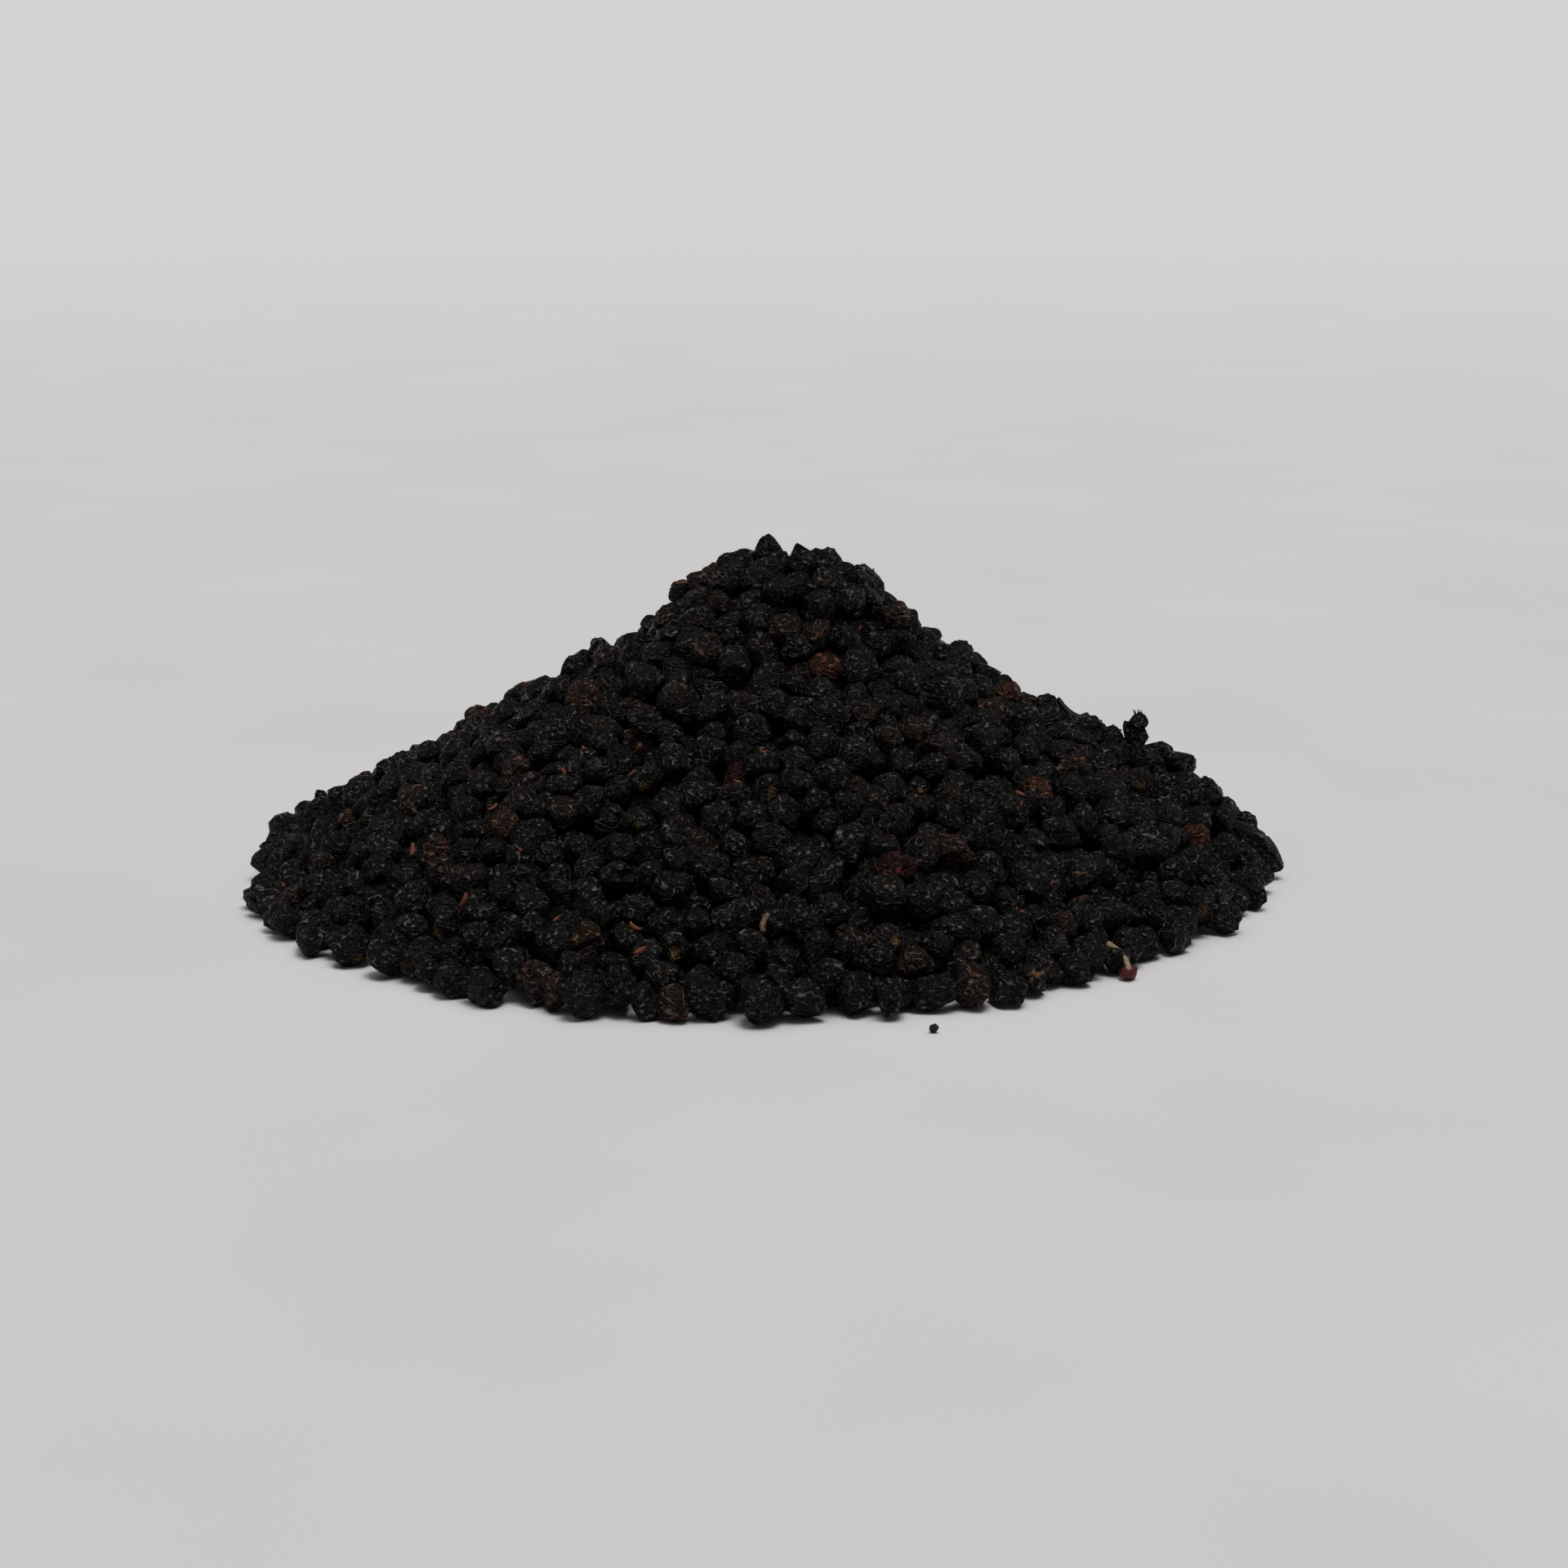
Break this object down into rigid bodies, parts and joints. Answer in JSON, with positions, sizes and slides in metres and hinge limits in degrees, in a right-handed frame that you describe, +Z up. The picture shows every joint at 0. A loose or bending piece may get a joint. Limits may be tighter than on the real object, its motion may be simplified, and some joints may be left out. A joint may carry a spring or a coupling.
{
  "type": "dried elderberry heap",
  "caption": "Loose conical heap of wrinkled dried elderberries with a rounded crown and a flat base, near black with some brown berries and bits of stalk.",
  "frame": {"origin": "centre of the heap's flat base, on the surface that it lies on", "axes": "+Z up, the front of the heap faces -Y, +X to the right seen from the front"},
  "size_m": [0.1308, 0.1327, 0.043],
  "materials": {
    "black_skin": "wrinkled satin black dried skin",
    "brown_skin": "wrinkled matte brown dried skin",
    "red_brown_skin": "wrinkled matte red-brown dried skin",
    "crimson_skin": "wrinkled satin dark crimson dried skin",
    "stalk": "dry ribbed stalk",
    "scrap_skin": "thin matte curled scrap"
  },
  "bodies": {
    "root": {"berry_heap": "black_skin", "rim_berry_01": "black_skin", "rim_berry_02": "black_skin", "rim_berry_03": "black_skin", "rim_berry_04": "black_skin", "rim_berry_05": "black_skin", "rim_berry_06": "black_skin", "rim_berry_07": "black_skin", "rim_berry_08": "black_skin", "rim_berry_09": "black_skin", "rim_berry_10": "black_skin", "rim_berry_11": "black_skin", "rim_berry_12": "black_skin", "rim_berry_13": "black_skin", "rim_berry_14": "black_skin", "rim_berry_15": "black_skin", "rim_berry_16": "black_skin", "rim_berry_17": "black_skin", "rim_berry_18": "black_skin", "rim_berry_19": "black_skin", "rim_berry_20": "black_skin", "rim_berry_21": "black_skin", "rim_berry_22": "black_skin", "rim_berry_23": "black_skin", "rim_berry_24": "black_skin", "rim_berry_25": "black_skin", "rim_berry_26": "black_skin", "rim_berry_27": "black_skin", "rim_berry_28": "black_skin", "rim_berry_29": "black_skin", "rim_berry_30": "black_skin", "crown_berry_1": "black_skin", "crown_berry_2": "black_skin", "crown_berry_3": "black_skin", "crown_berry_4": "black_skin", "crown_berry_5": "black_skin", "brown_berry_01": "brown_skin", "brown_berry_02": "red_brown_skin", "brown_berry_03": "brown_skin", "brown_berry_04": "red_brown_skin", "brown_berry_05": "crimson_skin", "brown_berry_06": "brown_skin", "brown_berry_07": "red_brown_skin", "brown_berry_08": "brown_skin", "brown_berry_09": "red_brown_skin", "brown_berry_10": "crimson_skin", "brown_berry_11": "brown_skin", "brown_berry_12": "red_brown_skin", "brown_berry_13": "brown_skin", "brown_berry_14": "red_brown_skin", "twin_berry_1": "black_skin", "twin_berry_2": "black_skin", "twin_berry_3": "black_skin", "upright_cluster": "black_skin", "stalk_bit_1": "stalk", "stalk_bit_2": "stalk", "stalk_bit_3": "stalk", "stalk_bit_4": "stalk", "skin_scrap_1": "scrap_skin", "skin_scrap_2": "scrap_skin"}
  },
  "joints": []
}
